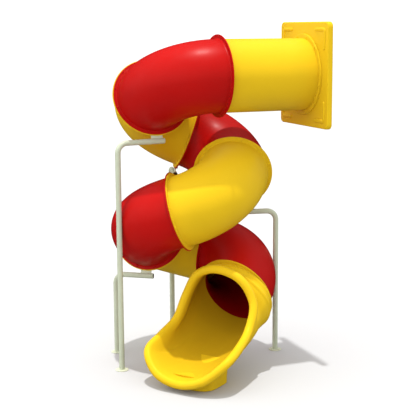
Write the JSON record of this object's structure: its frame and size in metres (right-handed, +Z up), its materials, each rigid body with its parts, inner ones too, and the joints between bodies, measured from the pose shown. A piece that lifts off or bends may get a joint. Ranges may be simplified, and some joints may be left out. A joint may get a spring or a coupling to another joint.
{
  "type": "spiral playground tube slide",
  "caption": "Covered spiral slide for a play tower: square entrance panel, straight entry tube, bolted tube elbows turning down to an open exit chute, on bent pipe posts.",
  "frame": {"origin": "on the ground, under the middle of the whole slide's footprint", "axes": "+Z up; +X the way the entrance panel's back faces, towards the play tower; +Y from the exit's side to the spiral's far side"},
  "size_m": [2.1734, 2.4614, 3.76],
  "materials": {
    "yellow_plastic": "rotationally moulded polyethylene, glossy yellow",
    "red_plastic": "rotationally moulded polyethylene, glossy red",
    "post_coating": "steel pipe, pale green-grey powder coat",
    "plate_coating": "steel plate, pale green-grey powder coat"
  },
  "bodies": {
    "root": {"entrance_panel": "yellow_plastic", "entry_collar": "yellow_plastic", "entry_tube": "yellow_plastic", "elbow_1": "red_plastic", "elbow_2": "yellow_plastic", "elbow_3": "red_plastic", "elbow_4": "yellow_plastic", "elbow_5": "red_plastic", "elbow_6": "yellow_plastic", "elbow_7": "red_plastic", "exit_chute": "yellow_plastic", "post_2": "post_coating", "post_3": "post_coating", "post_4": "post_coating", "post_6": "post_coating", "arm_cap_2": "plate_coating", "arm_cap_3": "plate_coating", "arm_cap_4": "plate_coating", "arm_cap_6": "plate_coating", "base_plate_2": "plate_coating", "base_plate_3": "plate_coating", "base_plate_4": "plate_coating", "base_plate_6": "plate_coating", "bracket_2": "plate_coating", "bracket_3": "plate_coating", "bracket_4": "plate_coating", "bracket_6": "plate_coating"}
  },
  "joints": []
}
